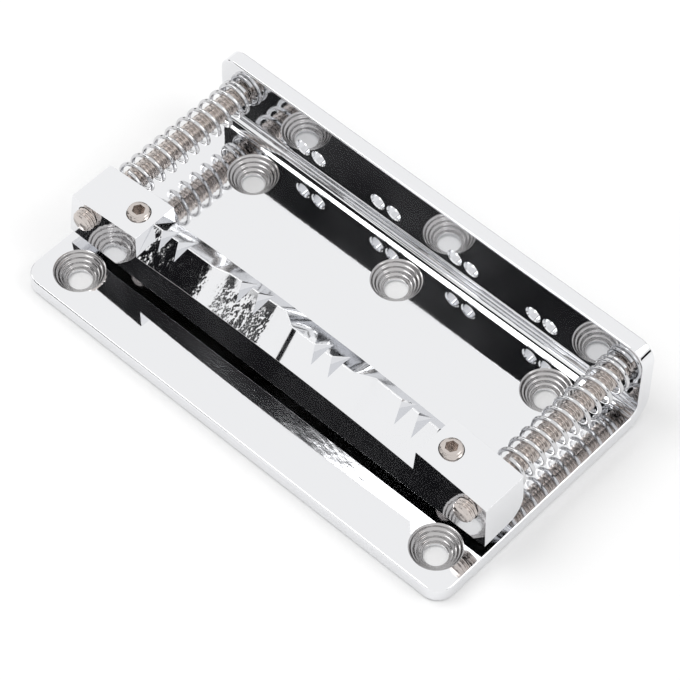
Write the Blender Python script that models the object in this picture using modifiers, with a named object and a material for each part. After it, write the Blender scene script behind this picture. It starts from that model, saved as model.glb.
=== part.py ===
# Mandolin bridge of the bent plate type: a base plate, an arched saddle bar, two sprung intonation
# screws and two height screws.
# The origin is the middle of the plate's underside. X runs along the saddle, +Y points to the
# upright wall that anchors the strings, and +Z points up to the strings.

import math

import bmesh
import bpy
import numpy as np
from mathutils import Vector

MM = 0.001

# Base plate, one sheet bent up at the back
SHEET = 2.2 * MM
PLATE_WIDTH = 70.0 * MM
PLATE_DEPTH = 38.3 * MM
WALL_HEIGHT = 13.4 * MM
BEND_INNER_RADIUS = 1.6 * MM
BEND_STEPS = 10
FRONT_CORNER_RADIUS = 2.5 * MM
WALL_CORNER_RADIUS = 2.5 * MM
CORNER_STEPS = 8
SHEET_EDGE_BREAK = 0.2 * MM

# Countersunk holes for the wood screws that hold the bridge down
MOUNT_BORE = 3.1 * MM
COUNTERSINK = 6.7 * MM
COUNTERSINK_LAND = 0.35 * MM
FRONT_HOLE_SPREAD = 59.8 * MM
FRONT_HOLE_SETBACK = 5.1 * MM
REAR_HOLE_SPREAD = 49.4 * MM
REAR_HOLE_TO_WALL = 5.0 * MM

# Four string pairs
PAIR_SPACING = 2.7 * MM
INNER_PAIRS_SPREAD = 12.9 * MM
OUTER_PAIRS_SPREAD = 38.6 * MM
STRING_HOLE = 2.1 * MM
STRING_HOLE_RISE = 4.35 * MM
STRING_HOLE_BREAK = 0.15 * MM
NOTCH_WIDTH = 1.6 * MM
NOTCH_DEPTH = 1.8 * MM

# Saddle bar, one casting
BAR_SETBACK = 8.75 * MM
BAR_DEPTH = 6.65 * MM
BAR_LIFT = 1.4 * MM
BAR_HEIGHT = 8.6 * MM
BAR_LENGTH = 68.4 * MM
BAR_END_DRAFT = 0.6 * MM
BAR_FRONT_DRAFT = 0.45 * MM
ARCH_RADIUS = 300.0 * MM
ARCH_STEP = 3.0 * MM
BLOCK_INNER_FACE = 23.1 * MM
BLOCK_FACE_DRAFT = 0.15 * MM
RIDGE_LIP = 3.45 * MM
RIDGE_BACK_DROP = 2.8 * MM
CREST_FLAT = 0.2 * MM
HEEL_RADIUS = 3.0 * MM
HEEL_STEPS = 7
BAR_CORNER_RADIUS = 0.8 * MM
BAR_EDGE_BREAK = 0.08 * MM

# Crest of the ridge behind the bar's front edge, which steps so that each string pair stays in tune
CREST_LINE = (
    (-22.95 * MM, 3.10 * MM),
    (-12.80 * MM, 3.10 * MM),
    (-10.50 * MM, 3.65 * MM),
    (-1.60 * MM, 4.10 * MM),
    (0.40 * MM, 2.85 * MM),
    (10.40 * MM, 3.05 * MM),
    (12.85 * MM, 4.25 * MM),
    (22.95 * MM, 4.25 * MM),
)

# Intonation screws, which draw the saddle bar towards the wall against their springs
SCREW_DIAMETER = 3.0 * MM
SCREW_SPREAD = 63.0 * MM
SCREW_RISE = 6.2 * MM
SCREW_LENGTH = 31.4 * MM
SCREW_TIP_CHAMFER = 0.4 * MM
HEAD_DIAMETER = 5.4 * MM
HEAD_RIM = 0.5 * MM
HEAD_DOME = 1.15 * MM
HEAD_DOME_STEPS = 7
RECESS_WIDTH = 0.8 * MM
RECESS_LENGTH = 2.9 * MM
RECESS_DEPTH = 1.0 * MM
WALL_HOLE = 3.6 * MM

# Springs round the intonation screws
SPRING_DIAMETER = 5.0 * MM
SPRING_WIRE = 0.55 * MM
SPRING_CLOSED_TURNS = 2.0
SPRING_CLOSED_PITCH = 1.05 * MM
SPRING_OPEN_TURNS = 9.0
SPRING_POINTS_PER_TURN = 10
SPRING_END_BEND = 0.4 * MM
SPRING_END_BEND_STEPS = 3

# Height screws, which stand on the plate and carry the saddle bar
GRUB_DIAMETER = 3.0 * MM
GRUB_SPREAD = 51.6 * MM
GRUB_SETBACK = 3.25 * MM
GRUB_LENGTH = 9.2 * MM
GRUB_RIM_CHAMFER = 0.25 * MM
GRUB_POINT = 1.5 * MM
GRUB_POINT_TAPER = 0.75 * MM
SOCKET_ACROSS_FLATS = 1.5 * MM
SOCKET_DEPTH = 2.0 * MM

# Clearances
REST_GAP = 0.3 * MM
THREAD_PLAY = 0.08 * MM
CUT_MARGIN = 1.0 * MM
ROUND_STEPS = 32
SINK_STEPS = 48

# Places derived from the sizes above
FRONT_EDGE = -PLATE_DEPTH / 2
BACK_FACE = PLATE_DEPTH / 2
WALL_FACE = BACK_FACE - SHEET
WALL_MIDDLE = BACK_FACE - SHEET / 2
BAR_FRONT = FRONT_EDGE + BAR_SETBACK
BAR_BACK = BAR_FRONT + BAR_DEPTH
BAR_BOTTOM = SHEET + BAR_LIFT
BAR_TOP = BAR_BOTTOM + BAR_HEIGHT
BAR_HALF = BAR_LENGTH / 2
SCREW_HEIGHT = SHEET + SCREW_RISE
HEAD_SEAT = BACK_FACE + REST_GAP
GRUB_FOOT = SHEET + REST_GAP
GRUB_PLACE = BAR_FRONT + GRUB_SETBACK
SIDES = (("left", -1), ("right", 1))
STRING_PLACES = [
    side * spread / 2 + step * PAIR_SPACING / 2
    for spread in (OUTER_PAIRS_SPREAD, INNER_PAIRS_SPREAD)
    for side in (-1, 1)
    for step in (-1, 1)
]


def clear_scene():
    for old in list(bpy.data.objects):
        bpy.data.objects.remove(old, do_unlink=True)


def new_collection(name):
    made = bpy.data.collections.new(name)
    bpy.context.scene.collection.children.link(made)
    return made


def metal(name, colour, roughness):
    made = bpy.data.materials.new(name)
    made.use_nodes = True
    shader = made.node_tree.nodes["Principled BSDF"]
    shader.inputs["Base Color"].default_value = (*colour, 1.0)
    shader.inputs["Roughness"].default_value = roughness
    shader.inputs["Metallic"].default_value = 1.0
    return made


def add_object(name, data, collection, material=None):
    made = bpy.data.objects.new(name, data)
    collection.objects.link(made)
    if material is not None:
        data.materials.append(material)
    return made


def add_cutter(name, data):
    made = add_object(name, data, CUTTERS)
    made.hide_render = True
    made.display_type = "WIRE"
    return made


def cut(target, cutter):
    step = target.modifiers.new(cutter.name, "BOOLEAN")
    step.operation = "DIFFERENCE"
    step.solver = "EXACT"
    step.object = cutter


def profile_mesh(name, profile):
    mesh = bpy.data.meshes.new(name)
    points = [(radius, 0.0, height) for radius, height in profile]
    mesh.from_pydata(points, [(i, i + 1) for i in range(len(points) - 1)], [])
    return mesh


def turn(target, steps):
    lathe = target.modifiers.new("turned", "SCREW")
    lathe.axis = "Z"
    lathe.angle = 2 * math.pi
    lathe.steps = steps
    lathe.render_steps = steps
    lathe.use_merge_vertices = True
    lathe.merge_threshold = 0.000001
    lathe.use_smooth_shade = True


def break_edges(target, width, angle, segments=2):
    step = target.modifiers.new("broken edges", "BEVEL")
    step.limit_method = "ANGLE"
    step.angle_limit = math.radians(angle)
    step.width = width
    step.segments = segments


def hole_cutter(name, diameter, length, chamfer):
    # Straight hole whose two mouths are chamfered, centred on the cutter's origin, along its own Z
    radius = diameter / 2
    half = length / 2
    mouth = radius + chamfer + CUT_MARGIN
    profile = [
        (0.0, half + CUT_MARGIN),
        (mouth, half + CUT_MARGIN),
        (radius, half - chamfer),
        (radius, chamfer - half),
        (mouth, -half - CUT_MARGIN),
        (0.0, -half - CUT_MARGIN),
    ]
    made = add_cutter(name, profile_mesh(name, profile))
    turn(made, ROUND_STEPS)
    return made


def sink_cutter(name):
    # Bore below, cone above, with its origin on the plate's underside
    bore = MOUNT_BORE / 2
    rise = SHEET - COUNTERSINK_LAND
    slope = (COUNTERSINK / 2 - bore) / rise
    top = SHEET + CUT_MARGIN
    profile = [
        (0.0, top),
        (COUNTERSINK / 2 + slope * CUT_MARGIN, top),
        (bore, COUNTERSINK_LAND),
        (bore, -CUT_MARGIN),
        (0.0, -CUT_MARGIN),
    ]
    made = add_cutter(name, profile_mesh(name, profile))
    turn(made, SINK_STEPS)
    return made


def along_y(target):
    # Turns the object's own +Z to the world's +Y
    target.rotation_euler = (-math.pi / 2, 0.0, 0.0)


def arch_drop(x):
    return ARCH_RADIUS - math.sqrt(ARCH_RADIUS**2 - x**2)


# Base plate
def build_base_plate():
    half = PLATE_WIDTH / 2
    outer = BEND_INNER_RADIUS + SHEET
    line = [(FRONT_EDGE, 0.0)]
    for i in range(BEND_STEPS + 1):
        a = math.pi / 2 * i / BEND_STEPS
        line.append((BACK_FACE - outer + outer * math.sin(a), outer - outer * math.cos(a)))
    line.append((BACK_FACE, WALL_HEIGHT))
    points = [(side * half, y, z) for y, z in line for side in (-1, 1)]
    faces = [(2 * i, 2 * i + 2, 2 * i + 3, 2 * i + 1) for i in range(len(line) - 1)]
    mesh = bpy.data.meshes.new("base_plate")
    mesh.from_pydata(points, [], faces)
    plate = add_object("base_plate", mesh, PARTS, PLATE_CHROME)
    last = len(points) - 1
    corners = (
        ("front corners", [0, 1], FRONT_CORNER_RADIUS),
        ("wall corners", [last - 1, last], WALL_CORNER_RADIUS),
    )
    for name, which, radius in corners:
        plate.vertex_groups.new(name=name).add(which, 1.0, "REPLACE")
        rounding = plate.modifiers.new(name, "BEVEL")
        rounding.affect = "VERTICES"
        rounding.limit_method = "VGROUP"
        rounding.vertex_group = name
        rounding.width = radius
        rounding.segments = CORNER_STEPS
    thick = plate.modifiers.new("sheet thickness", "SOLIDIFY")
    thick.thickness = SHEET
    thick.offset = -1.0
    thick.use_even_offset = True
    break_edges(plate, SHEET_EDGE_BREAK, 50)

    front_row = FRONT_EDGE + FRONT_HOLE_SETBACK
    rear_row = WALL_FACE - REAR_HOLE_TO_WALL
    places = (
        (-FRONT_HOLE_SPREAD / 2, front_row),
        (FRONT_HOLE_SPREAD / 2, front_row),
        (-REAR_HOLE_SPREAD / 2, rear_row),
        (0.0, rear_row),
        (REAR_HOLE_SPREAD / 2, rear_row),
    )
    for i, (x, y) in enumerate(places):
        sink = sink_cutter(f"mounting hole {i + 1}")
        sink.location = (x, y, 0.0)
        cut(plate, sink)
    for i, x in enumerate(STRING_PLACES):
        hole = hole_cutter(f"string hole {i + 1}", STRING_HOLE, SHEET, STRING_HOLE_BREAK)
        hole.location = (x, WALL_MIDDLE, SHEET + STRING_HOLE_RISE)
        along_y(hole)
        cut(plate, hole)
    for name, side in SIDES:
        hole = hole_cutter(f"screw hole {name}", WALL_HOLE, SHEET, STRING_HOLE_BREAK)
        hole.location = (side * SCREW_SPREAD / 2, WALL_MIDDLE, SCREW_HEIGHT)
        along_y(hole)
        cut(plate, hole)
    return plate


# Saddle bar
def bar_section(x, crest):
    # Outline in Y and Z, from the front's foot over the top to the heel, all points in order
    top = BAR_TOP - arch_drop(x)
    front_slope = BAR_FRONT_DRAFT / BAR_HEIGHT
    block = crest is None
    lip = top if block else top - RIDGE_LIP
    back = top if block else top - RIDGE_BACK_DROP
    middle = BAR_FRONT + (BAR_DEPTH / 2 if block else crest)
    line = [
        (BAR_FRONT - front_slope * (BAR_TOP - BAR_BOTTOM), BAR_BOTTOM),
        (BAR_FRONT - front_slope * (BAR_TOP - lip), lip),
        (middle - CREST_FLAT / 2, top),
        (middle + CREST_FLAT / 2, top),
        (BAR_BACK, back),
    ]
    for i in range(HEEL_STEPS + 1):
        a = math.pi / 2 * i / HEEL_STEPS
        line.append(
            (
                BAR_BACK - HEEL_RADIUS + HEEL_RADIUS * math.cos(a),
                BAR_BOTTOM + HEEL_RADIUS - HEEL_RADIUS * math.sin(a),
            )
        )
    return line


def bar_stations():
    # Places along the bar, with the crest's distance behind the front edge, or None in a block
    xs = [-BAR_HALF, -BLOCK_INNER_FACE, BLOCK_INNER_FACE, BAR_HALF]
    found = [(x, None) for x in xs]
    found += list(CREST_LINE)
    found.sort(key=lambda item: item[0])
    filled = []
    for (x0, c0), (x1, c1) in zip(found, found[1:]):
        filled.append((x0, c0))
        steps = max(1, round((x1 - x0) / ARCH_STEP))
        if (c0 is None) != (c1 is None):
            steps = 1
        for i in range(1, steps):
            share = i / steps
            crest = None if c0 is None else c0 + share * (c1 - c0)
            filled.append((x0 + share * (x1 - x0), crest))
    filled.append(found[-1])
    return filled


def build_saddle_bar():
    stations = bar_stations()
    body = bmesh.new()
    weight = body.edges.layers.float.new("bevel_weight_edge")
    rings = []
    for x, crest in stations:
        ring = []
        end = abs(abs(x) - BAR_HALF) < CREST_FLAT / 2
        for y, z in bar_section(x, crest):
            out = BAR_END_DRAFT * (BAR_TOP - arch_drop(x) - z) / BAR_HEIGHT if end else 0.0
            ring.append(body.verts.new((x + math.copysign(out, x), y, z)))
        rings.append(ring)
    count = len(rings[0])
    for one, two in zip(rings, rings[1:]):
        for i in range(count):
            j = (i + 1) % count
            body.faces.new((one[i], one[j], two[j], two[i]))
    for ring in (rings[0], rings[-1]):
        body.faces.new(ring)
        for i in range(4, count - 1):
            body.edges.get((ring[i], ring[i + 1]))[weight] = 1.0
    bmesh.ops.recalc_face_normals(body, faces=body.faces[:])
    mesh = bpy.data.meshes.new("saddle_bar")
    body.to_mesh(mesh)
    body.free()
    bar = add_object("saddle_bar", mesh, PARTS, SADDLE_CHROME)
    corners = bar.modifiers.new("rounded back corners", "BEVEL")
    corners.limit_method = "WEIGHT"
    corners.width = BAR_CORNER_RADIUS
    corners.segments = 3
    break_edges(bar, BAR_EDGE_BREAK, 35)

    for i, x in enumerate(STRING_PLACES):
        cut(bar, notch_cutter(f"notch {i + 1}", x))
    for name, side in SIDES:
        x = side * SCREW_SPREAD / 2
        hole = hole_cutter(f"bar hole {name}", SCREW_DIAMETER + 2 * THREAD_PLAY, BAR_DEPTH, 0.0)
        hole.location = (x, (BAR_FRONT + BAR_BACK) / 2, SCREW_HEIGHT)
        along_y(hole)
        cut(bar, hole)
        hole = hole_cutter(f"grub hole {name}", GRUB_DIAMETER + 2 * THREAD_PLAY, BAR_HEIGHT, 0.0)
        hole.location = (side * GRUB_SPREAD / 2, GRUB_PLACE, (BAR_BOTTOM + BAR_TOP) / 2)
        cut(bar, hole)
    return bar


def notch_cutter(name, x):
    # Three sided groove along Y, whose bottom follows the arch
    level = BAR_TOP - arch_drop(x)
    slope = NOTCH_WIDTH / 2 / NOTCH_DEPTH
    top = NOTCH_DEPTH + CUT_MARGIN
    outline = [(-slope * top, top), (0.0, 0.0), (slope * top, top)]
    curve = bpy.data.curves.new(name, "CURVE")
    curve.dimensions = "2D"
    curve.fill_mode = "BOTH"
    curve.extrude = BAR_DEPTH / 2 + CUT_MARGIN
    spline = curve.splines.new("POLY")
    spline.points.add(len(outline) - 1)
    for point, (across, up) in zip(spline.points, outline):
        point.co = (across, up, 0.0, 1.0)
    spline.use_cyclic_u = True
    drawn = bpy.data.objects.new(name, curve)
    CUTTERS.objects.link(drawn)
    drawn.location = (x, (BAR_FRONT + BAR_BACK) / 2, level - NOTCH_DEPTH)
    drawn.rotation_euler = (math.pi / 2, 0.0, 0.0)
    made = curve_to_mesh(drawn, CUTTERS)
    made.hide_render = True
    made.display_type = "WIRE"
    return made


def curve_to_mesh(drawn, collection, material=None):
    name = drawn.name
    bpy.context.view_layer.update()
    seen = drawn.evaluated_get(bpy.context.evaluated_depsgraph_get())
    mesh = bpy.data.meshes.new_from_object(seen)
    welded = bmesh.new()
    welded.from_mesh(mesh)
    bmesh.ops.remove_doubles(welded, verts=welded.verts[:], dist=0.000001)
    bmesh.ops.recalc_face_normals(welded, faces=welded.faces[:])
    welded.to_mesh(mesh)
    welded.free()
    place = drawn.matrix_world.copy()
    bpy.data.objects.remove(drawn, do_unlink=True)
    mesh.materials.clear()
    made = add_object(name, mesh, collection, material)
    made.matrix_world = place
    return made


# Intonation screws
def build_intonation_screw(name, side):
    # The screw's origin is on its axis, under the head; its own +Z runs out through the head
    shank = SCREW_DIAMETER / 2
    head = HEAD_DIAMETER / 2
    tip = shank - SCREW_TIP_CHAMFER
    profile = []
    for i in range(HEAD_DOME_STEPS + 1):
        a = math.pi / 2 * i / HEAD_DOME_STEPS
        profile.append((head * math.sin(a), HEAD_RIM + HEAD_DOME * math.cos(a)))
    profile[0] = (0.0, HEAD_RIM + HEAD_DOME)
    profile += [
        (head, 0.0),
        (shank, 0.0),
        (shank, SCREW_TIP_CHAMFER - SCREW_LENGTH),
        (tip, -SCREW_LENGTH),
        (0.0, -SCREW_LENGTH),
    ]
    label = f"intonation_screw_{name}"
    screw = add_object(label, profile_mesh(label, profile), PARTS, NICKEL)
    screw.location = (side * SCREW_SPREAD / 2, HEAD_SEAT, SCREW_HEIGHT)
    along_y(screw)
    turn(screw, ROUND_STEPS)
    for i in range(2):
        slot = box_cutter(f"recess {name} {i + 1}", RECESS_LENGTH, RECESS_WIDTH)
        slot.parent = screw
        slot.rotation_euler = (0.0, 0.0, i * math.pi / 2)
        cut(screw, slot)
    return screw


def box_cutter(name, length, width):
    # Arm of the cross recess, from its depth in the dome up past the top
    top = HEAD_RIM + HEAD_DOME
    bpy.ops.mesh.primitive_cube_add(size=1.0)
    made = bpy.context.active_object
    made.name = name
    for old in list(made.users_collection):
        old.objects.unlink(made)
    CUTTERS.objects.link(made)
    made.scale = (length, width, RECESS_DEPTH + CUT_MARGIN)
    bpy.ops.object.transform_apply(location=False, rotation=False, scale=True)
    made.location = (0.0, 0.0, top - RECESS_DEPTH + (RECESS_DEPTH + CUT_MARGIN) / 2)
    made.hide_render = True
    made.display_type = "WIRE"
    return made


# Springs
def spring_line():
    # Points from the bar's back face to the wall: straight end, open turns, closed turns, straight end
    radius = (SPRING_DIAMETER - SPRING_WIRE) / 2
    start = BAR_BACK + REST_GAP
    finish = WALL_FACE - REST_GAP
    end_run = SPRING_WIRE + SPRING_END_BEND
    low = start + end_run
    high = finish - end_run
    closed = SPRING_CLOSED_TURNS * SPRING_CLOSED_PITCH
    open_pitch = (high - low - closed) / SPRING_OPEN_TURNS
    turns = SPRING_OPEN_TURNS + SPRING_CLOSED_TURNS
    count = round(turns * SPRING_POINTS_PER_TURN)
    coil = []
    for i in range(count + 1):
        t = turns * i / count
        a = 2 * math.pi * t
        y = low + open_pitch * min(t, SPRING_OPEN_TURNS)
        y += SPRING_CLOSED_PITCH * max(0.0, t - SPRING_OPEN_TURNS)
        coil.append(Vector((radius * math.sin(a), y, radius * math.cos(a))))
    last = 2 * math.pi * turns
    first = end_bend(coil[0], Vector((-1.0, 0.0, 0.0)), Vector((0.0, -1.0, 0.0)), start)
    way = Vector((math.cos(last), 0.0, -math.sin(last)))
    final = end_bend(coil[-1], way, Vector((0.0, 1.0, 0.0)), finish)
    return first[::-1] + coil + final, open_pitch


def end_bend(corner, along, out, limit):
    # Quarter turn from the coil into a straight end that runs out to the limit
    made = []
    for i in range(1, SPRING_END_BEND_STEPS + 1):
        a = math.pi / 2 * i / SPRING_END_BEND_STEPS
        step = along * math.sin(a) + out * (1 - math.cos(a))
        made.append(corner + SPRING_END_BEND * step)
    tail = made[-1].copy()
    tail.y = limit
    made.append(tail)
    return made


def least_gap(points, per_turn):
    # Least distance between wires, over points at least half a turn apart along the line
    fine = []
    for one, two in zip(points, points[1:]):
        fine += [one.lerp(two, share) for share in (0.0, 0.25, 0.5, 0.75)]
    line = np.array([tuple(point) for point in fine])
    apart = np.linalg.norm(line[:, None, :] - line[None, :, :], axis=2)
    index = np.arange(len(line))
    near = np.abs(index[:, None] - index[None, :]) < 2 * per_turn
    apart[near] = np.inf
    return float(apart.min()) - SPRING_WIRE


def build_spring(name, side):
    points, pitch = spring_line()
    label = f"spring_{name}"
    curve = bpy.data.curves.new(label, "CURVE")
    curve.dimensions = "3D"
    curve.bevel_depth = SPRING_WIRE / 2
    curve.bevel_resolution = 1
    curve.use_fill_caps = True
    spline = curve.splines.new("POLY")
    spline.points.add(len(points) - 1)
    for place, point in zip(spline.points, points):
        place.co = (point.x, point.y, point.z, 1.0)
    drawn = bpy.data.objects.new(label, curve)
    PARTS.objects.link(drawn)
    drawn.location = (side * SCREW_SPREAD / 2, 0.0, SCREW_HEIGHT)
    made = curve_to_mesh(drawn, PARTS, SPRING_STEEL)
    for face in made.data.polygons:
        face.use_smooth = True
    gap = least_gap(points, SPRING_POINTS_PER_TURN)
    print(f"{label}: pitch {pitch / MM:.2f} mm, least gap to itself {gap / MM:.2f} mm")
    return made


# Height screws
def build_height_screw(name, side):
    # The screw's origin is on its axis at its foot
    shank = GRUB_DIAMETER / 2
    profile = [
        (0.0, GRUB_LENGTH),
        (shank - GRUB_RIM_CHAMFER, GRUB_LENGTH),
        (shank, GRUB_LENGTH - GRUB_RIM_CHAMFER),
        (shank, GRUB_POINT_TAPER),
        (GRUB_POINT / 2, 0.0),
        (0.0, 0.0),
    ]
    label = f"height_screw_{name}"
    screw = add_object(label, profile_mesh(label, profile), PARTS, NICKEL)
    screw.location = (side * GRUB_SPREAD / 2, GRUB_PLACE, GRUB_FOOT)
    turn(screw, ROUND_STEPS)
    bpy.ops.mesh.primitive_cylinder_add(
        vertices=6,
        radius=SOCKET_ACROSS_FLATS / math.sqrt(3),
        depth=SOCKET_DEPTH + CUT_MARGIN,
    )
    socket = bpy.context.active_object
    socket.name = f"socket {name}"
    for old in list(socket.users_collection):
        old.objects.unlink(socket)
    CUTTERS.objects.link(socket)
    socket.parent = screw
    socket.location = (0.0, 0.0, GRUB_LENGTH - SOCKET_DEPTH + (SOCKET_DEPTH + CUT_MARGIN) / 2)
    socket.hide_render = True
    socket.display_type = "WIRE"
    cut(screw, socket)
    return screw


clear_scene()
PARTS = new_collection("mandolin bridge")
CUTTERS = new_collection("cutters")
PLATE_CHROME = metal("plate chrome", (0.80, 0.81, 0.83), 0.08)
SADDLE_CHROME = metal("saddle chrome", (0.78, 0.79, 0.81), 0.12)
NICKEL = metal("nickel plate", (0.66, 0.61, 0.57), 0.25)
SPRING_STEEL = metal("bright spring steel", (0.72, 0.72, 0.73), 0.2)

build_base_plate()
build_saddle_bar()
for label, direction in SIDES:
    build_intonation_screw(label, direction)
    build_spring(label, direction)
    build_height_screw(label, direction)
bpy.context.view_layer.update()
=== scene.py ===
# %% [markdown]
# # Mandolin bridge
# A bent chrome plate carries an arched saddle bar on two height screws. Two sprung screws draw the
# bar towards the upright wall. The CAD model comes in as a frame of bodies. Each piece below is built
# in its place there, finer than the solid that it stands for. It rides on a body, apart from the
# springs, which ride on none.

import math

import bmesh
import bpy
from mathutils import Matrix, Vector


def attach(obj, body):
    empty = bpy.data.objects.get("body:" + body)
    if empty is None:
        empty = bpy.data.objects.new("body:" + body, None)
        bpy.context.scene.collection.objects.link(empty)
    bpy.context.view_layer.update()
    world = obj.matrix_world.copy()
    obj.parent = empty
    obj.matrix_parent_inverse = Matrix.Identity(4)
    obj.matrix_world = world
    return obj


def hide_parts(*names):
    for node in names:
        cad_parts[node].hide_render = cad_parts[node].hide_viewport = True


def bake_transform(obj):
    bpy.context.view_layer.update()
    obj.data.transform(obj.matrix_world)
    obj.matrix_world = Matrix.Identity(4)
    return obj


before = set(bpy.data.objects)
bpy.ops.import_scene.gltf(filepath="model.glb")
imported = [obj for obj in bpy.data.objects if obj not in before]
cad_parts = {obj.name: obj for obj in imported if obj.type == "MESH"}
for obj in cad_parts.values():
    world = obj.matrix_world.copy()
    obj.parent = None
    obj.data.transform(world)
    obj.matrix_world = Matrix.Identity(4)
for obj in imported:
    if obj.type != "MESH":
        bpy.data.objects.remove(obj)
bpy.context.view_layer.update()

# %% [markdown]
# ## Shared sizes
# All sizes are in metres. They repeat the CAD model's, so that each piece fits its solid's space.
# Broken edges, step counts and the springs' wire and turns differ a little, and the threads are only
# here. The origin is the middle of the plate's underside, +X runs along the saddle, and +Y points to
# the wall. Sizes that only one piece uses mostly come with that piece.

# %% Shared sizes
MM = 0.001
MICRON = 0.001 * MM
SHEET = 2.2 * MM
PLATE_DEPTH = 38.3 * MM

PAIR_SPACING = 2.7 * MM
INNER_PAIRS_SPREAD = 12.9 * MM
OUTER_PAIRS_SPREAD = 38.6 * MM

BAR_SETBACK = 8.75 * MM
BAR_DEPTH = 6.65 * MM
SCREW_RADIUS = 1.5 * MM
SCREW_SPREAD = 63.0 * MM
SCREW_RISE = 6.2 * MM
GRUB_SPREAD = 51.6 * MM
GRUB_SETBACK = 3.25 * MM

REST_GAP = 0.3 * MM
THREAD_PLAY = 0.08 * MM
CUT_MARGIN = 1.0 * MM
ROUND_STEPS = 64

FRONT_EDGE = -PLATE_DEPTH / 2
BACK_FACE = PLATE_DEPTH / 2
WALL_FACE = BACK_FACE - SHEET
WALL_MIDDLE = BACK_FACE - SHEET / 2
BAR_FRONT = FRONT_EDGE + BAR_SETBACK
BAR_BACK = BAR_FRONT + BAR_DEPTH
SCREW_HEIGHT = SHEET + SCREW_RISE
GRUB_PLACE = BAR_FRONT + GRUB_SETBACK
SIDES = (("left", -1), ("right", 1))
STRING_PLACES = [
    side * spread / 2 + step * PAIR_SPACING / 2
    for spread in (OUTER_PAIRS_SPREAD, INNER_PAIRS_SPREAD)
    for side in (-1, 1)
    for step in (-1, 1)
]
TURN_Y = Matrix.Rotation(-math.pi / 2, 4, "X")
print(len(STRING_PLACES), "string places")

# %% [markdown]
# ## Shader helpers
# Polish marks, a cast skin and satin could be painted as textures. Noise in object space needs no
# unwrapping and stays put when a piece moves, so it drives both the roughness and the height here. A
# mask is a ramp along one axis, and it keeps a texture on its own face.


# %% Shader helpers
def noise(tree, scale, detail=2.0):
    place = tree.nodes.new("ShaderNodeTexCoord")
    made = tree.nodes.new("ShaderNodeTexNoise")
    made.inputs["Scale"].default_value = scale
    made.inputs["Detail"].default_value = detail
    tree.links.new(place.outputs["Object"], made.inputs["Vector"])
    return made.outputs["Fac"]


def spread(tree, value, low, high, start=0.3, stop=0.7):
    made = tree.nodes.new("ShaderNodeMapRange")
    for label, number in (("From Min", start), ("From Max", stop), ("To Min", low), ("To Max", high)):
        made.inputs[label].default_value = number
    tree.links.new(value, made.inputs["Value"])
    return made.outputs["Result"]


def masked_strength(tree, masks):
    # Each mask is an axis, the place where the texture starts and the place where it is full
    strength = None
    for axis, start, stop in masks:
        place = tree.nodes.new("ShaderNodeTexCoord")
        parts = tree.nodes.new("ShaderNodeSeparateXYZ")
        tree.links.new(place.outputs["Object"], parts.inputs["Vector"])
        share = spread(tree, parts.outputs[axis], 0.0, 1.0, start, stop)
        if strength is not None:
            both = tree.nodes.new("ShaderNodeMath")
            both.operation = "MULTIPLY"
            tree.links.new(strength, both.inputs[0])
            tree.links.new(share, both.inputs[1])
            share = both.outputs[0]
        strength = share
    return strength


print("shader helpers ready")

# %% [markdown]
# ## Metals
# The plate and the saddle are chrome plated, the screws are satin nickel and the springs drawn steel.
# One function makes them all, because they differ only in colour, roughness and texture. The plate's
# countersinks are turned in steps too fine to be worth cutting, so a wave along Z shows them as a bump.
# Their colour is also painted darker than the plate's, as a painted dark reflection on their cones.

# %% Metals
HAZE_DETAIL = 4.0
RING_SCALE = 700.0
RING_DEPTH = 90 * MICRON


def metal(name, colour, roughness, haze, bumps):
    # haze is the polish marks' scale, and each bump is its scale, its depth and its masks
    made = bpy.data.materials.new(name)
    made.use_nodes = True
    tree = made.node_tree
    shader = tree.nodes["Principled BSDF"]
    shader.inputs["Metallic"].default_value = 1.0
    shader.inputs["Base Color"].default_value = (*colour, 1.0)
    marks = noise(tree, haze, HAZE_DETAIL)
    tree.links.new(spread(tree, marks, *roughness), shader.inputs["Roughness"])
    normal = shader.inputs["Normal"]
    for scale, depth, masks in reversed(bumps):
        bump = tree.nodes.new("ShaderNodeBump")
        bump.inputs["Distance"].default_value = depth
        tree.links.new(noise(tree, scale), bump.inputs["Height"])
        strength = masked_strength(tree, masks)
        if strength is not None:
            tree.links.new(strength, bump.inputs["Strength"])
        tree.links.new(bump.outputs["Normal"], normal)
        normal = bump.inputs["Normal"]
    return made


def add_turned_rings(material):
    tree = material.node_tree
    place = tree.nodes.new("ShaderNodeTexCoord")
    wave = tree.nodes.new("ShaderNodeTexWave")
    wave.bands_direction = "Z"
    wave.inputs["Scale"].default_value = RING_SCALE
    bump = tree.nodes.new("ShaderNodeBump")
    bump.inputs["Distance"].default_value = RING_DEPTH
    tree.links.new(place.outputs["Object"], wave.inputs["Vector"])
    tree.links.new(wave.outputs["Fac"], bump.inputs["Height"])
    tree.links.new(bump.outputs["Normal"], tree.nodes["Principled BSDF"].inputs["Normal"])


FRONT_SKIN = [("Y", BAR_FRONT + 0.03 * MM, BAR_FRONT - 0.02 * MM)]
LEFT_SLOPE = [
    ("X", -0.8 * MM, -1.8 * MM),
    ("X", -22.9 * MM, -22.6 * MM),
    ("Y", BAR_FRONT + 3.4 * MM, BAR_FRONT + 2.6 * MM),
]
PLATE_BUMPS = [(60.0, 10 * MICRON, []), (1500.0, 1.2 * MICRON, [])]
SADDLE_BUMPS = [
    (130.0, 20 * MICRON, []),
    (800.0, 14 * MICRON, FRONT_SKIN),
    (900.0, 30 * MICRON, LEFT_SLOPE),
]
NICKEL_BUMPS = [(2500.0, 6 * MICRON, [])]
STEEL_BUMPS = [(1500.0, 5 * MICRON, [])]
PLATE_CHROME = metal("plate chrome", (0.84, 0.845, 0.86), (0.02, 0.07), 90.0, PLATE_BUMPS)
SADDLE_CHROME = metal("saddle chrome", (0.85, 0.855, 0.87), (0.03, 0.09), 140.0, SADDLE_BUMPS)
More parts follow.
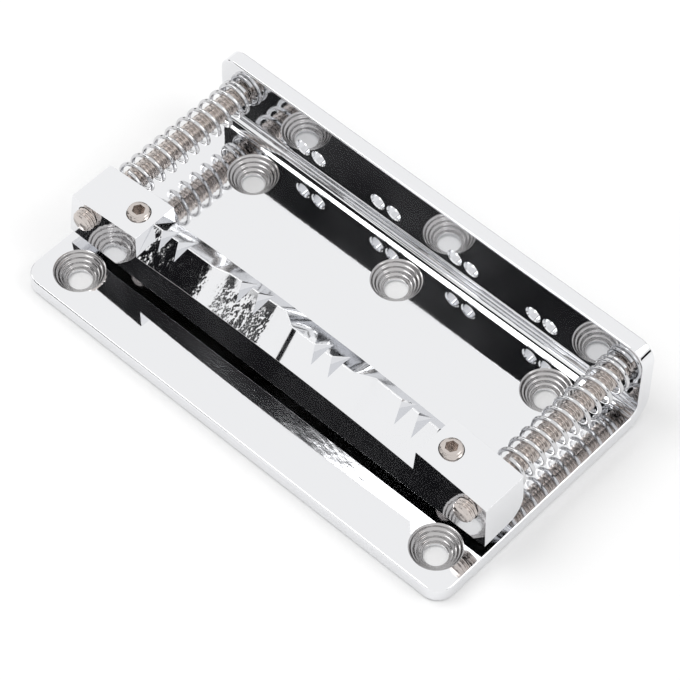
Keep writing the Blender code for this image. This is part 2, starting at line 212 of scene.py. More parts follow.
# The countersinks' chrome is painted darker than the plate's: a painted dark reflection for the darker
# surroundings that their cones mirror
SINK_CHROME_PAINTED_DARK = metal("turned countersink with painted dark reflection", (0.50, 0.49, 0.49), (0.10, 0.22), 400.0, [])
add_turned_rings(SINK_CHROME_PAINTED_DARK)
NICKEL = metal("satin nickel", (0.60, 0.55, 0.52), (0.16, 0.30), 900.0, NICKEL_BUMPS)
SPRING_STEEL = metal("spring steel", (0.66, 0.66, 0.67), (0.08, 0.18), 700.0, STEEL_BUMPS)
print("five metals")

# %% [markdown]
# ## Finishing a piece
# A piece could keep its modifiers, but then its place would lie in the object. Here they are applied
# with that place, so the object stays at the origin as a CAD node does. Edges are then marked sharp by
# angle, and weighted normals keep broad flat faces flat beside their rounded edges.

# %% Finishing a piece
HEAD_SHARP = 32.0
BODY_SHARP = 30.0
FINE_SHARP = 50.0
NORMAL_WEIGHT = 80


def plain_object(name, mesh):
    made = bpy.data.objects.new(name, mesh)
    bpy.context.scene.collection.objects.link(made)
    return made


def remove(thing):
    bpy.data.objects.remove(thing, do_unlink=True)


def settled(thing, cutters=()):
    # Applies the modifiers and the object's own place, and drops the cutters
    bpy.context.view_layer.update()
    seen = thing.evaluated_get(bpy.context.evaluated_depsgraph_get())
    mesh = bpy.data.meshes.new_from_object(seen)
    mesh.transform(thing.matrix_world)
    name = thing.name
    remove(thing)
    for cutter in cutters:
        remove(cutter)
    mesh.name = name
    return plain_object(name, mesh)


def finish_piece(thing, material, body, replaced=(), sharp=HEAD_SHARP, weighted=False):
    # body is None for a piece that rides on no body
    mesh = thing.data
    mesh.materials.clear()
    mesh.materials.append(material)
    mesh.polygons.foreach_set("use_smooth", [True] * len(mesh.polygons))
    mesh.set_sharp_from_angle(angle=math.radians(sharp))
    if weighted:
        even = thing.modifiers.new("even shading", "WEIGHTED_NORMAL")
        even.keep_sharp = True
        even.weight = NORMAL_WEIGHT
    if body is not None:
        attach(thing, body)
    if replaced:
        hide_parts(*replaced)
    print(thing.name, len(mesh.polygons), "faces")


# %% [markdown]
# ## Cutters
# Holes could be modelled into each face, but a turned profile with an exact Boolean gives a true round
# hole in a sheet, a wall or a casting alike, with its broken edge in the same cut.

# %% Cutters
MERGE_DISTANCE = 0.001 * MM


def turned(name, profile, place):
    # Profile of (radius, height) points, from the top down, turned about local Z
    mesh = bpy.data.meshes.new(name)
    points = [(radius, 0.0, height) for radius, height in profile]
    mesh.from_pydata(points, [(i, i + 1) for i in range(len(points) - 1)], [])
    made = plain_object(name, mesh)
    lathe = made.modifiers.new("turned", "SCREW")
    lathe.axis = "Z"
    lathe.steps = ROUND_STEPS
    lathe.render_steps = ROUND_STEPS
    lathe.use_merge_vertices = True
    lathe.merge_threshold = MERGE_DISTANCE
    made.matrix_world = place
    return made


def hole_cutter(diameter, length, chamfer, place):
    radius = diameter / 2
    half = length / 2
    mouth = radius + chamfer + CUT_MARGIN if chamfer else radius
    end = half + CUT_MARGIN
    profile = [(0.0, end), (mouth, end), (radius, half - chamfer)]
    profile += [(across, -up) for across, up in reversed(profile)]
    return turned("hole", profile, place)


def box_cutter(size, place):
    mesh = bpy.data.meshes.new("box")
    shape = bmesh.new()
    bmesh.ops.create_cube(shape, size=1.0, matrix=Matrix.Diagonal((*size, 1.0)))
    shape.to_mesh(mesh)
    shape.free()
    made = plain_object("box", mesh)
    made.matrix_world = place
    return made


def prism_cutter(outline, depth, place):
    # Straight prism over a closed outline in the local XY plane, centred on the origin
    mesh = bpy.data.meshes.new("prism")
    count = len(outline)
    points = [(x, y, s * depth / 2) for s in (-1, 1) for x, y in outline]
    faces = [tuple(range(count))[::-1], tuple(range(count, 2 * count))]
    faces += [(i, (i + 1) % count, count + (i + 1) % count, count + i) for i in range(count)]
    mesh.from_pydata(points, [], faces)
    made = plain_object("prism", mesh)
    made.matrix_world = place
    return made


def cut(target, cutters):
    for cutter in cutters:
        step = target.modifiers.new("cut", "BOOLEAN")
        step.operation = "DIFFERENCE"
        step.solver = "EXACT"
        step.object = cutter


print("cutters ready")

# %% [markdown]
# ## Base plate: the bent sheet
# The real plate is one sheet with rounded corners, bent up at the back. A flat strip could be bent by
# a modifier, but a profile with its bend as an arc keeps the inner radius exact. The strip gets round
# corners first and its thickness after, so both faces share them, and its edges are broken last.

# %% Bent sheet
PLATE_WIDTH = 70.0 * MM
WALL_HEIGHT = 13.4 * MM
BEND_INNER_RADIUS = 1.6 * MM
BEND_STEPS = 24
CORNER_RADIUS = 2.5 * MM
CORNER_STEPS = 14
SHEET_EDGE_BREAK = 0.22 * MM
SHEET_EDGE_ANGLE = 50
EDGE_SEGMENTS = 3


def bent_sheet():
    half = PLATE_WIDTH / 2
    outer = BEND_INNER_RADIUS + SHEET
    line = [(FRONT_EDGE, 0.0)]
    for i in range(BEND_STEPS + 1):
        a = math.pi / 2 * i / BEND_STEPS
        line.append((BACK_FACE - outer + outer * math.sin(a), outer - outer * math.cos(a)))
    line.append((BACK_FACE, WALL_HEIGHT))
    points = [(side * half, y, z) for y, z in line for side in (-1, 1)]
    faces = [(2 * i, 2 * i + 2, 2 * i + 3, 2 * i + 1) for i in range(len(line) - 1)]
    mesh = bpy.data.meshes.new("bent_plate")
    mesh.from_pydata(points, [], faces)
    sheet = plain_object("bent_plate", mesh)
    last = len(points) - 1
    sheet.vertex_groups.new(name="corners").add([0, 1, last - 1, last], 1.0, "REPLACE")
    rounding = sheet.modifiers.new("corners", "BEVEL")
    rounding.affect = "VERTICES"
    rounding.limit_method = "VGROUP"
    rounding.vertex_group = "corners"
    rounding.width = CORNER_RADIUS
    rounding.segments = CORNER_STEPS
    thick = sheet.modifiers.new("thickness", "SOLIDIFY")
    thick.thickness = SHEET
    thick.offset = -1.0
    thick.use_even_offset = True
    edges = sheet.modifiers.new("edges", "BEVEL")
    edges.limit_method = "ANGLE"
    edges.angle_limit = math.radians(SHEET_EDGE_ANGLE)
    edges.width = SHEET_EDGE_BREAK
    edges.segments = EDGE_SEGMENTS
    return sheet


print("sheet", round(PLATE_WIDTH / MM, 1), "mm wide")

# %% [markdown]
# ## Base plate: the holes
# Five countersunk holes take the wood screws that hold the bridge down, eight holes in the wall anchor
# the strings, and two let the sprung screws through. Only the countersinks' cones get the ringed
# finish and the darker colour of painted dark reflection. They are found by their slope: their faces
# are neither flat nor upright.

# %% Plate holes
MOUNT_BORE = 3.1 * MM
COUNTERSINK = 6.7 * MM
COUNTERSINK_LAND = 0.35 * MM
FRONT_HOLE_SPREAD = 59.8 * MM
FRONT_HOLE_SETBACK = 5.1 * MM
REAR_HOLE_SPREAD = 49.4 * MM
REAR_HOLE_TO_WALL = 5.0 * MM
STRING_HOLE = 2.1 * MM
STRING_HOLE_RISE = 4.35 * MM
WALL_HOLE = 3.6 * MM
HOLE_BREAK = 0.15 * MM
UPRIGHT_SLOPE = 0.2
FLAT_SLOPE = 0.95
FRONT_ROW = FRONT_EDGE + FRONT_HOLE_SETBACK
REAR_ROW = WALL_FACE - REAR_HOLE_TO_WALL
SINK_PLACES = [(side * FRONT_HOLE_SPREAD / 2, FRONT_ROW) for _, side in SIDES]
SINK_PLACES += [(step * REAR_HOLE_SPREAD / 2, REAR_ROW) for step in (-1, 0, 1)]


def plate_cutters():
    bore = MOUNT_BORE / 2
    slope = (COUNTERSINK / 2 - bore) / (SHEET - COUNTERSINK_LAND)
    sink = [
        (0.0, SHEET + CUT_MARGIN),
        (COUNTERSINK / 2 + slope * CUT_MARGIN, SHEET + CUT_MARGIN),
        (bore, COUNTERSINK_LAND),
        (bore, -CUT_MARGIN),
        (0.0, -CUT_MARGIN),
    ]
    cutters = [turned("sink", sink, Matrix.Translation((x, y, 0.0))) for x, y in SINK_PLACES]
    for x in STRING_PLACES:
        place = Matrix.Translation((x, WALL_MIDDLE, SHEET + STRING_HOLE_RISE)) @ TURN_Y
        cutters.append(hole_cutter(STRING_HOLE, SHEET, HOLE_BREAK, place))
    for _, side in SIDES:
        place = Matrix.Translation((side * SCREW_SPREAD / 2, WALL_MIDDLE, SCREW_HEIGHT)) @ TURN_Y
        cutters.append(hole_cutter(WALL_HOLE, SHEET, HOLE_BREAK, place))
    return cutters


def build_plate():
    sheet = bent_sheet()
    cutters = plate_cutters()
    cut(sheet, cutters)
    plate = settled(sheet, cutters)
    finish_piece(plate, PLATE_CHROME, "base", ("base_plate",), BODY_SHARP, True)
    # The second material is the countersink chrome with its ringed bump and its painted dark reflection
    plate.data.materials.append(SINK_CHROME_PAINTED_DARK)
    for face in plate.data.polygons:
        near = min(math.dist(face.center[:2], place) for place in SINK_PLACES)
        if near < COUNTERSINK / 2 and UPRIGHT_SLOPE < face.normal.z < FLAT_SLOPE:
            face.material_index = 1


build_plate()

# %% [markdown]
# ## Saddle bar: its sections
# The real bar is one casting: a block at each end, and between them an arched ridge whose crest steps
# forward and back, so that each string pair gets its own length. It could be cut from a block, but a
# loft of sections along X lets the arch, the crest and the round heel each follow its own rule.

# %% Saddle sections
BAR_LIFT = 1.4 * MM
BAR_HEIGHT = 8.6 * MM
BAR_LENGTH = 68.4 * MM
BAR_END_DRAFT = 0.6 * MM
BAR_FRONT_DRAFT = 0.45 * MM
ARCH_RADIUS = 300.0 * MM
ARCH_STEP = 1.5 * MM
BLOCK_INNER_FACE = 23.1 * MM
RIDGE_LIP = 3.45 * MM
RIDGE_BACK_DROP = 2.8 * MM
CREST_FLAT = 0.2 * MM
HEEL_RADIUS = 3.0 * MM
HEEL_STEPS = 14
BAR_BOTTOM = SHEET + BAR_LIFT
BAR_TOP = BAR_BOTTOM + BAR_HEIGHT
BAR_HALF = BAR_LENGTH / 2

# Places along the bar, and how far the crest there lies behind the bar's front
CREST_LINE = (
    (-22.95 * MM, 3.10 * MM),
    (-12.80 * MM, 3.10 * MM),
    (-10.50 * MM, 3.65 * MM),
    (-1.60 * MM, 4.10 * MM),
    (0.40 * MM, 2.85 * MM),
    (10.40 * MM, 3.05 * MM),
    (12.85 * MM, 4.25 * MM),
    (22.95 * MM, 4.25 * MM),
)


def arch_drop(x):
    return ARCH_RADIUS - math.sqrt(ARCH_RADIUS**2 - x**2)


def bar_section(x, crest):
    # From the bottom of the front, over the top and down the back; crest is None in the end blocks
    top = BAR_TOP - arch_drop(x)
    lip = top if crest is None else top - RIDGE_LIP
    back = top if crest is None else top - RIDGE_BACK_DROP
    middle = BAR_FRONT + (BAR_DEPTH / 2 if crest is None else crest)
    slope = BAR_FRONT_DRAFT / BAR_HEIGHT
    line = [
        (BAR_FRONT - slope * (BAR_TOP - BAR_BOTTOM), BAR_BOTTOM),
        (BAR_FRONT - slope * (BAR_TOP - lip), lip),
        (middle - CREST_FLAT / 2, top),
        (middle + CREST_FLAT / 2, top),
        (BAR_BACK, back),
    ]
    for i in range(HEEL_STEPS + 1):
        a = math.pi / 2 * i / HEEL_STEPS
        y = BAR_BACK - HEEL_RADIUS + HEEL_RADIUS * math.cos(a)
        line.append((y, BAR_BOTTOM + HEEL_RADIUS - HEEL_RADIUS * math.sin(a)))
    return line


def bar_stations():
    # Every place along the bar that needs a section, with its crest
    found = [(x, None) for x in (-BAR_HALF, -BLOCK_INNER_FACE, BLOCK_INNER_FACE, BAR_HALF)]
    found = sorted(found + list(CREST_LINE), key=lambda item: item[0])
    filled = []
    for (x0, c0), (x1, c1) in zip(found, found[1:]):
        filled.append((x0, c0))
        mixed = (c0 is None) != (c1 is None)
        steps = 1 if mixed else max(1, round((x1 - x0) / ARCH_STEP))
        for i in range(1, steps):
            share = i / steps
            crest = None if c0 is None else c0 + share * (c1 - c0)
            filled.append((x0 + share * (x1 - x0), crest))
    filled.append(found[-1])
    return filled


print(len(bar_stations()), "sections along the bar")

# %% [markdown]
# ## Saddle bar: the casting
# The sections are joined into one closed body, whose end faces lean out towards the foot as a casting
# must to leave its mould. The back corners get a wider rounding than the other edges, by a bevel
# weight on those edges alone. Eight notches follow the arch, and four holes take the screws.

# %% Saddle casting
NOTCH_WIDTH = 1.6 * MM
NOTCH_DEPTH = 1.8 * MM
BAR_CORNER_RADIUS = 0.8 * MM
BAR_CORNER_SEGMENTS = 5
BAR_EDGE_BREAK = 0.09 * MM
BAR_EDGE_ANGLE = 35
BAR_MIDDLE = (BAR_FRONT + BAR_BACK) / 2
END_TOLERANCE = 0.1 * MM

# Index of a section's first point on the bar's back
BACK_TOP = 4


def cast_body():
    body = bmesh.new()
    weight = body.edges.layers.float.new("bevel_weight_edge")
    rings = []
    for x, crest in bar_stations():
        at_end = abs(abs(x) - BAR_HALF) < END_TOLERANCE
        ring = []
        for y, z in bar_section(x, crest):
            out = BAR_END_DRAFT * (BAR_TOP - arch_drop(x) - z) / BAR_HEIGHT if at_end else 0.0
            ring.append(body.verts.new((x + math.copysign(out, x), y, z)))
        rings.append(ring)
    count = len(rings[0])
    for one, two in zip(rings, rings[1:]):
        for i in range(count):
            j = (i + 1) % count
            body.faces.new((one[i], one[j], two[j], two[i]))
    for ring in (rings[0], rings[-1]):
        body.faces.new(ring)
        for i in range(BACK_TOP, count - 1):
            body.edges.get((ring[i], ring[i + 1]))[weight] = 1.0
    bmesh.ops.recalc_face_normals(body, faces=body.faces[:])
    mesh = bpy.data.meshes.new("cast_saddle")
    body.to_mesh(mesh)
    body.free()
    return plain_object("cast_saddle", mesh)


def round_edges(bar):
    corners = bar.modifiers.new("back corners", "BEVEL")
    corners.limit_method = "WEIGHT"
    corners.width = BAR_CORNER_RADIUS
    corners.segments = BAR_CORNER_SEGMENTS
    edges = bar.modifiers.new("edges", "BEVEL")
    edges.limit_method = "ANGLE"
    edges.angle_limit = math.radians(BAR_EDGE_ANGLE)
    edges.width = BAR_EDGE_BREAK
    edges.segments = EDGE_SEGMENTS


def bar_cutters():
    slope = NOTCH_WIDTH / 2 / NOTCH_DEPTH
    rise = NOTCH_DEPTH + CUT_MARGIN
    groove = [(-slope * rise, rise), (0.0, 0.0), (slope * rise, rise)]
    upright = Matrix.Rotation(math.pi / 2, 4, "X")
    cutters = []
    for x in STRING_PLACES:
        bottom = BAR_TOP - arch_drop(x) - NOTCH_DEPTH
        place = Matrix.Translation((x, BAR_MIDDLE, bottom)) @ upright
        cutters.append(prism_cutter(groove, BAR_DEPTH + 2 * CUT_MARGIN, place))
    bore = 2 * (SCREW_RADIUS + THREAD_PLAY)
    for _, side in SIDES:
        place = Matrix.Translation((side * SCREW_SPREAD / 2, BAR_MIDDLE, SCREW_HEIGHT)) @ TURN_Y
        cutters.append(hole_cutter(bore, BAR_DEPTH, 0.0, place))
        place = Matrix.Translation((side * GRUB_SPREAD / 2, GRUB_PLACE, (BAR_BOTTOM + BAR_TOP) / 2))
        cutters.append(hole_cutter(bore, BAR_HEIGHT, 0.0, place))
    return cutters


def build_saddle():
    bar = cast_body()
    round_edges(bar)
    cutters = bar_cutters()
    cut(bar, cutters)
    saddle = settled(bar, cutters)
    finish_piece(saddle, SADDLE_CHROME, "saddle", ("saddle_bar",), BODY_SHARP, True)


build_saddle()

# %% [markdown]
# ## Threaded rod
# A thread could be a bump in the material, but its crests show in the outline of so small a screw. So
# it is geometry: one grid wound round the axis, whose radius falls and rises once a pitch. The phase
# turns with the angle, and so the crests form a true helix.

# %% Threaded rod
THREAD_PITCH = 0.5 * MM
THREAD_DEPTH = 0.27 * MM
THREAD_FLANK = 2.5
THREAD_SIDES = 40
THREAD_RINGS = 8


def threaded_rod(name, length, low_end, high_end, place):
    # Rod along local +Z from 0 to length; low_end and high_end are (chamfer height, end radius)
    rings = round(length / THREAD_PITCH * THREAD_RINGS)
    points = []
    for i in range(rings + 1):
        z = length * i / rings
        limit = SCREW_RADIUS
        for reach, (height, end) in ((z, low_end), (length - z, high_end)):
            if height > 0 and reach < height:
                limit = min(limit, end + (SCREW_RADIUS - end) * reach / height)
        for j in range(THREAD_SIDES):
            a = 2 * math.pi * j / THREAD_SIDES
            phase = (z / THREAD_PITCH - j / THREAD_SIDES) % 1.0
            share = THREAD_FLANK / 2 - THREAD_FLANK * abs(phase - 0.5)
            fall = THREAD_DEPTH * min(1.0, max(0.0, share))
            radius = min(limit, SCREW_RADIUS - fall)
            points.append((radius * math.cos(a), radius * math.sin(a), z))
    faces = []
    for i in range(rings):
        for j in range(THREAD_SIDES):
            k = (j + 1) % THREAD_SIDES
            low = i * THREAD_SIDES
            high = low + THREAD_SIDES
            faces.append((low + j, low + k, high + k, high + j))
    faces.append(tuple(range(THREAD_SIDES))[::-1])
    faces.append(tuple(range(rings * THREAD_SIDES, (rings + 1) * THREAD_SIDES)))
    mesh = bpy.data.meshes.new(name)
    mesh.from_pydata(points, [], faces)
    made = plain_object(name, mesh)
    made.matrix_world = place
    return made


print("thread pitch", THREAD_PITCH / MM, "mm")

# %% [markdown]
# ## The four screws
# An intonation screw's shank runs through the wall and the saddle, and its head sits behind the wall,
# where the photograph can't show it, so its dome and cross recess are a guess. A height screw is a
# grub screw with a hex socket, which stands on the plate. A recess could be modelled into the dome,
# but a turned head with the recess cut afterwards stays round.

# %% Four screws
SCREW_LENGTH = 31.4 * MM
SCREW_TIP_CHAMFER = 0.4 * MM
HEAD_RADIUS = 2.7 * MM
HEAD_RIM = 0.5 * MM
HEAD_DOME = 1.15 * MM
HEAD_DOME_STEPS = 14
RECESS_WIDTH = 0.8 * MM
RECESS_LENGTH = 2.9 * MM
RECESS_DEPTH = 1.0 * MM
HEAD_SEAT = BACK_FACE + REST_GAP

GRUB_LENGTH = 9.2 * MM
GRUB_RIM_CHAMFER = 0.25 * MM
GRUB_FOOT_RADIUS = 0.75 * MM
GRUB_FOOT = SHEET + REST_GAP
SOCKET_ACROSS_FLATS = 1.5 * MM
SOCKET_DEPTH = 2.0 * MM
PLAIN_END = (0.0, 0.0)


def build_shank(name, place):
    tip = (SCREW_TIP_CHAMFER, SCREW_RADIUS - SCREW_TIP_CHAMFER)
    start = place @ Matrix.Translation((0.0, 0.0, -SCREW_LENGTH))
    rod = settled(threaded_rod(f"threaded_shank_{name}", SCREW_LENGTH, tip, PLAIN_END, start))
    finish_piece(rod, NICKEL, f"screw_{name}", (f"intonation_screw_{name}",), FINE_SHARP)


def build_head(name, place):
    profile = [(0.0, HEAD_RIM + HEAD_DOME)]
    for i in range(1, HEAD_DOME_STEPS + 1):
        a = math.pi / 2 * i / HEAD_DOME_STEPS
        profile.append((HEAD_RADIUS * math.sin(a), HEAD_RIM + HEAD_DOME * math.cos(a)))
    profile += [(HEAD_RADIUS, 0.0), (0.0, 0.0)]
    head = turned(f"domed_head_{name}", profile, place)
    depth = RECESS_DEPTH + CUT_MARGIN
    up = HEAD_RIM + HEAD_DOME - RECESS_DEPTH + depth / 2
    arms = []
    for i in range(2):
        turn = Matrix.Rotation(i * math.pi / 2, 4, "Z")
        size = (RECESS_LENGTH, RECESS_WIDTH, depth)
        arms.append(box_cutter(size, place @ turn @ Matrix.Translation((0.0, 0.0, up))))
    cut(head, arms)
    finish_piece(settled(head, arms), NICKEL, f"screw_{name}")


def build_height_screw(name, side):
    place = Matrix.Translation((side * GRUB_SPREAD / 2, GRUB_PLACE, GRUB_FOOT))
    low = (SCREW_RADIUS - GRUB_FOOT_RADIUS, GRUB_FOOT_RADIUS)
    high = (GRUB_RIM_CHAMFER, SCREW_RADIUS - GRUB_RIM_CHAMFER)
    rod = threaded_rod(f"grub_screw_{name}", GRUB_LENGTH, low, high, place)
    reach = SOCKET_ACROSS_FLATS / math.sqrt(3)
    hexagon = [(reach * math.cos(i * math.pi / 3), reach * math.sin(i * math.pi / 3)) for i in range(6)]
    depth = SOCKET_DEPTH + CUT_MARGIN
    up = place @ Matrix.Translation((0.0, 0.0, GRUB_LENGTH - SOCKET_DEPTH + depth / 2))
    socket = prism_cutter(hexagon, depth, up)
    cut(rod, [socket])
    made = settled(rod, [socket])
    finish_piece(made, NICKEL, f"foot_{name}", (f"height_screw_{name}",), FINE_SHARP)


for label, direction in SIDES:
    seat = Matrix.Translation((direction * SCREW_SPREAD / 2, HEAD_SEAT, SCREW_HEIGHT)) @ TURN_Y
    build_shank(label, seat)
    build_head(label, seat)
    build_height_screw(label, direction)

# %% [markdown]
# ## Springs: the wire
# A spring is one round wire along a coiled line. A curve with a bevel would do, but a node group takes
# the wire's radius and sides as named inputs and sweeps them for both springs alike.


# %% Spring wire
def wire_group():
    tree = bpy.data.node_groups.new("round wire", "GeometryNodeTree")
    tree.is_modifier = True
    sockets = tree.interface
    sockets.new_socket("Geometry", in_out="INPUT", socket_type="NodeSocketGeometry")
    wire = sockets.new_socket("Wire radius", in_out="INPUT", socket_type="NodeSocketFloat")
    sides = sockets.new_socket("Sides", in_out="INPUT", socket_type="NodeSocketInt")
    look = sockets.new_socket("Material", in_out="INPUT", socket_type="NodeSocketMaterial")
    sockets.new_socket("Geometry", in_out="OUTPUT", socket_type="NodeSocketGeometry")
    source = tree.nodes.new("NodeGroupInput")
    line = tree.nodes.new("GeometryNodeMeshToCurve")
    ring = tree.nodes.new("GeometryNodeCurvePrimitiveCircle")
    sweep = tree.nodes.new("GeometryNodeCurveToMesh")
    sweep.inputs["Fill Caps"].default_value = True
    real = tree.nodes.new("GeometryNodeRealizeInstances")
    paint = tree.nodes.new("GeometryNodeSetMaterial")
    out = tree.nodes.new("NodeGroupOutput")
    join = tree.links.new
    join(source.outputs["Geometry"], line.inputs["Mesh"])
    join(source.outputs["Wire radius"], ring.inputs["Radius"])
    join(source.outputs["Sides"], ring.inputs["Resolution"])
    join(line.outputs["Curve"], sweep.inputs["Curve"])
    join(ring.outputs["Curve"], sweep.inputs["Profile Curve"])
    join(sweep.outputs["Mesh"], real.inputs["Geometry"])
    join(real.outputs["Geometry"], paint.inputs["Geometry"])
    join(source.outputs["Material"], paint.inputs["Material"])
    join(paint.outputs["Geometry"], out.inputs["Geometry"])
    return tree, wire.identifier, sides.identifier, look.identifier


WIRE = wire_group()
print("wire group ready")

# %% [markdown]
# ## Springs: the coils
# Real springs end in turns that lie close, so that they stand square. Here the turns by the wall are
# close together, and those by the saddle start flat and ease into the open pitch.

# %% Spring coils
SPRING_RADIUS = 2.225 * MM
SPRING_WIRE = 0.56 * MM
SPRING_OPEN_TURNS = 9.6
SPRING_CLOSED_TURNS = 1.5
SPRING_CLOSED_PITCH = 1.12 * SPRING_WIRE
SPRING_EASE_TURNS = 0.8
SPRING_POINTS_PER_TURN = 36
WIRE_SIDES = 14


def coil_line(middle):
    low = BAR_BACK + REST_GAP + SPRING_WIRE / 2
    high = WALL_FACE - REST_GAP - SPRING_WIRE / 2
    ease = SPRING_EASE_TURNS
    closed = SPRING_CLOSED_TURNS * SPRING_CLOSED_PITCH
    pitch = (high - low - closed) / (SPRING_OPEN_TURNS - ease / 2)
    turns = SPRING_OPEN_TURNS + SPRING_CLOSED_TURNS
    count = round(turns * SPRING_POINTS_PER_TURN)
    points = []
    for i in range(count + 1):
        t = turns * i / count
        a = 2 * math.pi * t
        eased = min(t, ease)
        y = low + pitch * eased * eased / (2 * ease)
        y += pitch * max(0.0, min(t, SPRING_OPEN_TURNS) - ease)
        y += SPRING_CLOSED_PITCH * max(0.0, t - SPRING_OPEN_TURNS)
        across = SPRING_RADIUS * math.sin(a)
        up = SPRING_RADIUS * math.cos(a)
        points.append((middle + across, y, SCREW_HEIGHT + up))
    return points


def build_spring(group, name, side):
    tree, wire, sides, look = group
    middle = side * SCREW_SPREAD / 2
    points = coil_line(middle)
    mesh = bpy.data.meshes.new(f"coil_line_{name}")
    mesh.from_pydata(points, [(i, i + 1) for i in range(len(points) - 1)], [])
    coil = plain_object(f"coil_spring_{name}", mesh)
    sweep = coil.modifiers.new("wire", "NODES")
    sweep.node_group = tree
    sweep[wire] = SPRING_WIRE / 2
    sweep[sides] = WIRE_SIDES
    sweep[look] = SPRING_STEEL
    made = settled(coil)
    finish_piece(made, SPRING_STEEL, None, (f"spring_{name}",), FINE_SHARP)
    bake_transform(made)


for label, direction in SIDES:
    build_spring(WIRE, label, direction)

# %% [markdown]
# ## Studio: floor, cards and lamps
# Chrome has no colour of its own and shows what stands round it. Darker metal could stand in for its
# black bands, but they would be wrong in every other light. So the world is plain white, and black
# cards stand where the photograph's dark reflections point. The camera and the diffuse light don't
# see the cards, and they cast no shadow. They suit the camera's own view best.

# %% Floor, cards and lamps
FLOOR_HALF = 3.0
FLOOR_DROP = 0.1 * MM
MIDDLE = (0.0, 0.0, 0.0)

# A card's name, its centre, its width and height, and the point that it faces
CARDS = (
    ("front sky card", (-0.150, -0.165, 0.305), (0.34, 0.095), MIDDLE),
    ("left sky card", (-0.275, -0.200, 0.285), (0.24, 0.130), MIDDLE),
    ("left slope card", (-0.214, -0.330, 0.155), (0.060, 0.08), (-0.214, 0.0, 0.155)),
    ("middle slope card", (-0.182, -0.330, 0.245), (0.020, 0.09), (-0.182, 0.0, 0.245)),
    ("back strip card", (-0.10, 0.50, 0.13), (0.70, 0.12), MIDDLE),
    ("right strip card", (0.50, 0.10, 0.14), (0.45, 0.10), MIDDLE),
    ("left strip card", (-0.50, -0.05, 0.12), (0.40, 0.10), MIDDLE),
)

# A lamp's name, its place, the side of its square and its power in watts
LAMPS = (
    ("key", (-0.35, -0.15, 0.60), 0.45, 1.5),
    ("fill", (0.45, 0.25, 0.50), 0.35, 0.8),
)


def matt(name, colour):
    made = bpy.data.materials.new(name)
    made.use_nodes = True
    shader = made.node_tree.nodes["Principled BSDF"]
    shader.inputs["Base Color"].default_value = (*colour, 1.0)
    shader.inputs["Roughness"].default_value = 0.9
    shader.inputs["Specular IOR Level"].default_value = 0.0
    return made


def flat_panel(name, half_width, half_height, material):
    mesh = bpy.data.meshes.new(name)
    corners = [(-1, -1), (1, -1), (1, 1), (-1, 1)]
    mesh.from_pydata([(x * half_width, y * half_height, 0.0) for x, y in corners], [], [(0, 1, 2, 3)])
    mesh.materials.append(material)
    return plain_object(name, mesh)


def aimed(place, target, axis):
    # Puts a thing at place with the named axis towards target
    way = (Vector(target) - Vector(place)).normalized()
    return Matrix.Translation(place) @ way.to_track_quat(axis, "Y").to_matrix().to_4x4()


BLACK = matt("black card", (0.006, 0.006, 0.007))
WHITE_FLOOR = matt("white floor", (0.9, 0.9, 0.9))
floor = flat_panel("floor", FLOOR_HALF, FLOOR_HALF, WHITE_FLOOR)
floor.location.z = -FLOOR_DROP
for label, centre, (width, height), target in CARDS:
    card = flat_panel(label, width / 2, height / 2, BLACK)
    card.matrix_world = aimed(centre, target, "Z")
    card.visible_camera = False
    card.visible_shadow = False
    card.visible_diffuse = False
for label, place, size, power in LAMPS:
    lamp = bpy.data.lights.new(label, "AREA")
    lamp.shape = "SQUARE"
    lamp.size = size
    lamp.energy = power
    lit = plain_object(label, lamp)
    lit.matrix_world = aimed(place, MIDDLE, "-Z")
print(len(CARDS), "cards and", len(LAMPS), "lamps")

# %% [markdown]
# ## Studio: the world
# Reflections and the camera meet a pure white world. Its diffuse light is a little weaker, so that
# the floor keeps the bridge's shadow. One background could do both, but then the reflections would
# be as dim as that light.

# %% World
SEEN_STRENGTH = 1.0
DIFFUSE_STRENGTH = 0.85


def white_background(tree, strength):
    made = tree.nodes.new("ShaderNodeBackground")
    made.inputs["Color"].default_value = (1.0, 1.0, 1.0, 1.0)
    made.inputs["Strength"].default_value = strength
    return made.outputs[0]


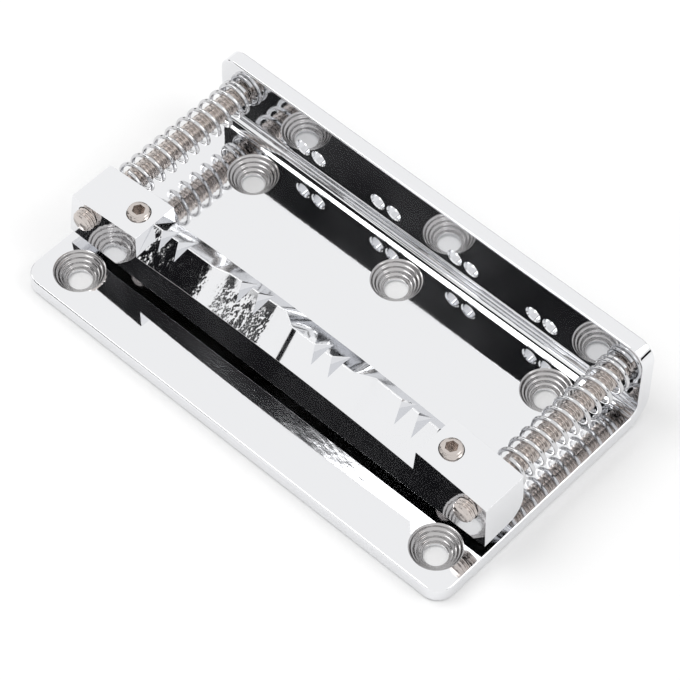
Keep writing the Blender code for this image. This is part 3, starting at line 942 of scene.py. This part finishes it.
world = bpy.data.worlds.new("studio")
bpy.context.scene.world = world
world.use_nodes = True
sky = world.node_tree
sky.nodes.clear()
rays = sky.nodes.new("ShaderNodeLightPath")
seen = sky.nodes.new("ShaderNodeMath")
seen.operation = "MAXIMUM"
sky.links.new(rays.outputs["Is Camera Ray"], seen.inputs[0])
sky.links.new(rays.outputs["Is Glossy Ray"], seen.inputs[1])
mix = sky.nodes.new("ShaderNodeMixShader")
sky.links.new(seen.outputs[0], mix.inputs["Fac"])
sky.links.new(white_background(sky, DIFFUSE_STRENGTH), mix.inputs[1])
sky.links.new(white_background(sky, SEEN_STRENGTH), mix.inputs[2])
out = sky.nodes.new("ShaderNodeOutputWorld")
sky.links.new(mix.outputs[0], out.inputs["Surface"])
print("world ready")

# %% [markdown]
# ## Camera
# A camera could be set by eye, but small errors in its turn show at once on a long straight plate. So
# its place, turn and lens come from a fit of the plate's edges and holes to the photograph.

# %% Camera
CAMERA_PLACE = (0.163638, -0.179053, 0.335076)
CAMERA_AZIMUTH = math.radians(42.1683)
CAMERA_ELEVATION = math.radians(53.9796)
CAMERA_ROLL = math.radians(0.7416)
CAMERA_LENS = 176.77
SENSOR_WIDTH = 36.0
CLIP_START = 10 * MM

toward = Vector((
    math.sin(CAMERA_AZIMUTH) * math.cos(CAMERA_ELEVATION),
    -math.cos(CAMERA_AZIMUTH) * math.cos(CAMERA_ELEVATION),
    math.sin(CAMERA_ELEVATION),
))
level = (-toward).cross(Vector((0.0, 0.0, 1.0))).normalized()
upward = level.cross(-toward)
right = math.cos(CAMERA_ROLL) * level + math.sin(CAMERA_ROLL) * upward
top = -math.sin(CAMERA_ROLL) * level + math.cos(CAMERA_ROLL) * upward
camera_data = bpy.data.cameras.new("camera")
camera_data.lens = CAMERA_LENS
camera_data.sensor_width = SENSOR_WIDTH
camera_data.clip_start = CLIP_START
camera = plain_object("camera", camera_data)
turn = Matrix((right, top, toward)).transposed().to_4x4()
camera.matrix_world = Matrix.Translation(CAMERA_PLACE) @ turn
bpy.context.scene.camera = camera
bpy.context.scene.view_settings.view_transform = "Standard"
print("camera", round(Vector(CAMERA_PLACE).length, 3), "m from the middle")
